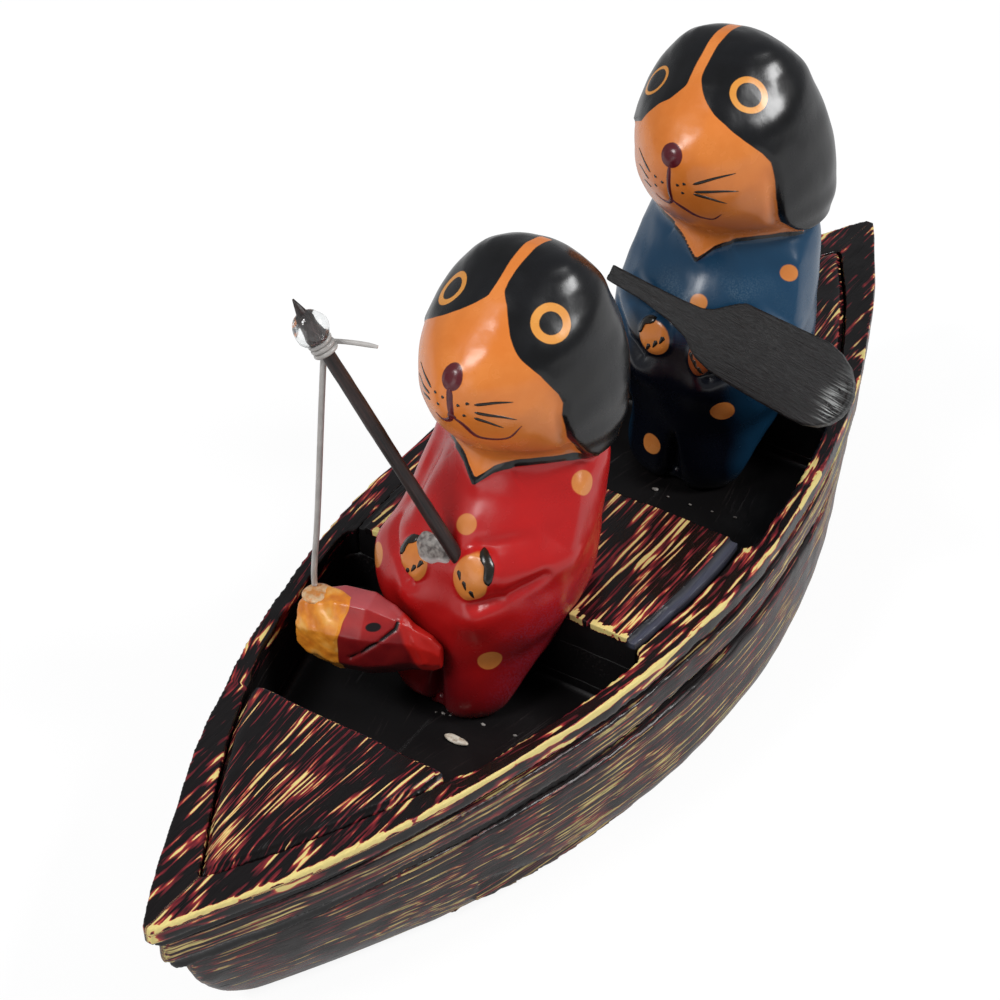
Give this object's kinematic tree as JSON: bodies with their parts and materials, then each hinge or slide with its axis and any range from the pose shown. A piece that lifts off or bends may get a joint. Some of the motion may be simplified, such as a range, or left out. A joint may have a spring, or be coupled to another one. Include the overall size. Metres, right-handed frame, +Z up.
{
  "type": "painted wooden boat ornament",
  "caption": "Carved rowing boat with two seated dogs, one holding a rod with a fish on its line and one holding a paddle, and two open wells.",
  "frame": {"origin": "centre of the boat's flat bottom, on the surface it stands on", "axes": "+Z up, -Y towards the bow, +X to starboard"},
  "size_m": [0.0965, 0.3, 0.134],
  "materials": {
    "hull_paint": "black paint rubbed through to red, salmon and cream along the grain, satin",
    "deck_paint": "black paint rubbed through to red and cream in fore-and-aft strokes, satin",
    "red_dog_paint": "gloss paint: red tunic, orange face, black cap",
    "blue_dog_paint": "gloss paint: blue tunic, orange face, black cap",
    "bare_wood": "bare light wood",
    "rod_stain": "dark stained stick, satin",
    "clear_glue": "clear set glue, glossy",
    "nylon_line": "pale translucent nylon",
    "fish_paint": "red gloss paint with an orange mouth",
    "dried_glue": "whitish dried glue",
    "paddle_stain": "charcoal stain with open grain, satin"
  },
  "bodies": {
    "boat": {"lower_hull": "hull_paint", "middle_strake": "hull_paint", "gunwale": "hull_paint", "foredeck": "deck_paint", "thwart": "deck_paint", "stern_deck": "deck_paint", "front_dog": "red_dog_paint", "rear_dog": "blue_dog_paint", "front_dog_peg": "bare_wood", "rear_dog_peg": "bare_wood", "fishing_rod": "rod_stain", "tip_glue_drop": "clear_glue", "line_knot": "nylon_line", "paw_glue": "dried_glue", "paddle": "paddle_stain", "paddle_glue": "dried_glue", "floor_glue_chip": "dried_glue"},
    "catch": {"fishing_line": "nylon_line", "fish": "fish_paint", "mouth_glue": "dried_glue"}
  },
  "joints": [
    {"name": "line_swing", "type": "hinge", "parent": "boat", "child": "catch", "pos_m": [-0.0235, -0.0525, 0.1168], "axis": [-1, 0, 0], "range_deg": [0, 11]}
  ]
}
